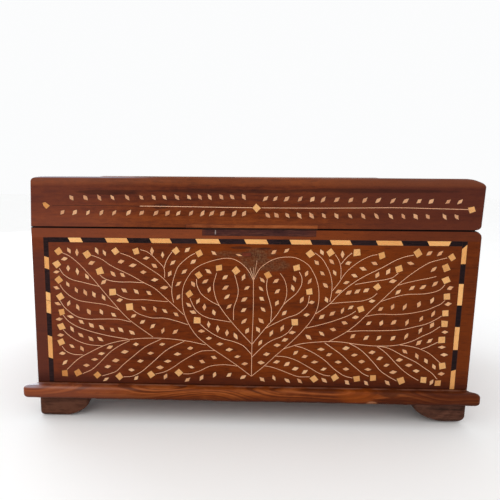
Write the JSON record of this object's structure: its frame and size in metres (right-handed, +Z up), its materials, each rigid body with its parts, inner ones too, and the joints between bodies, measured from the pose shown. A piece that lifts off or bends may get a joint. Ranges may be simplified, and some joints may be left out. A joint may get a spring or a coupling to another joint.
{
  "type": "bone inlay box",
  "caption": "Rectangular wooden box with a lift-off lid, a base with a front moulding on bracket feet, and a front inlaid with bone leaves, wire stems and a tile border.",
  "frame": {"origin": "on the ground between the feet, under the middle of the box and its front moulding taken together", "axes": "+Z up, +X to the box's right as seen from its inlaid front, the front facing -Y"},
  "size_m": [0.3696, 0.2384, 0.1997],
  "materials": {
    "body_wood": "worn satin red-brown hardwood with dark streaks",
    "lid_wood": "worn satin red-brown hardwood, purplish streaks towards the right",
    "moulding_wood": "satin orange-brown hardwood with bold grain",
    "foot_wood": "dull grey-brown hardwood",
    "ebony": "satin near-black hardwood",
    "bone": "polished yellowed bone",
    "dark_repair": "rough dark repair wood",
    "pale_repair": "satin pale brown repair wood",
    "nail": "dull grey steel",
    "plug_wood": "dull reddish wood",
    "wire": "fine pinkish brass inlay wire",
    "filler": "grey-brown wood filler, matt"
  },
  "bodies": {
    "root": {"base_board": "body_wood", "base_moulding": "moulding_wood", "body_back": "body_wood", "body_front": "body_wood", "body_left": "body_wood", "body_lock_strip": "dark_repair", "body_right": "body_wood", "foot_back_left": "foot_wood", "foot_back_right": "foot_wood", "foot_front_left": "foot_wood", "foot_front_right": "foot_wood", "keyhole_plug": "plug_wood", "left_tile_1": "ebony", "left_tile_2": "bone", "left_tile_3": "ebony", "left_tile_4": "bone", "left_tile_5": "bone", "left_tile_6": "ebony", "left_tile_7": "bone", "left_tile_8": "ebony", "lid_back": "lid_wood", "lid_front": "lid_wood", "lid_left": "lid_wood", "lid_lock_strip": "pale_repair", "lid_right": "lid_wood", "lid_top": "lid_wood", "right_tile_1": "ebony", "right_tile_2": "bone", "right_tile_3": "ebony", "right_tile_4": "bone", "right_tile_5": "ebony", "right_tile_6": "bone", "right_tile_7": "ebony", "right_tile_8": "bone", "strip_nail": "nail", "top_tile_01": "ebony", "top_tile_02": "bone", "top_tile_03": "ebony", "top_tile_04": "bone", "top_tile_05": "ebony", "top_tile_06": "bone", "top_tile_07": "ebony", "top_tile_08": "bone", "top_tile_09": "ebony", "top_tile_10": "bone", "top_tile_11": "ebony", "top_tile_12": "bone", "top_tile_13": "ebony", "top_tile_14": "bone", "top_tile_15": "ebony", "top_tile_16": "bone", "top_tile_17": "ebony", "top_tile_18": "bone", "top_tile_19": "ebony"}
  },
  "joints": []
}
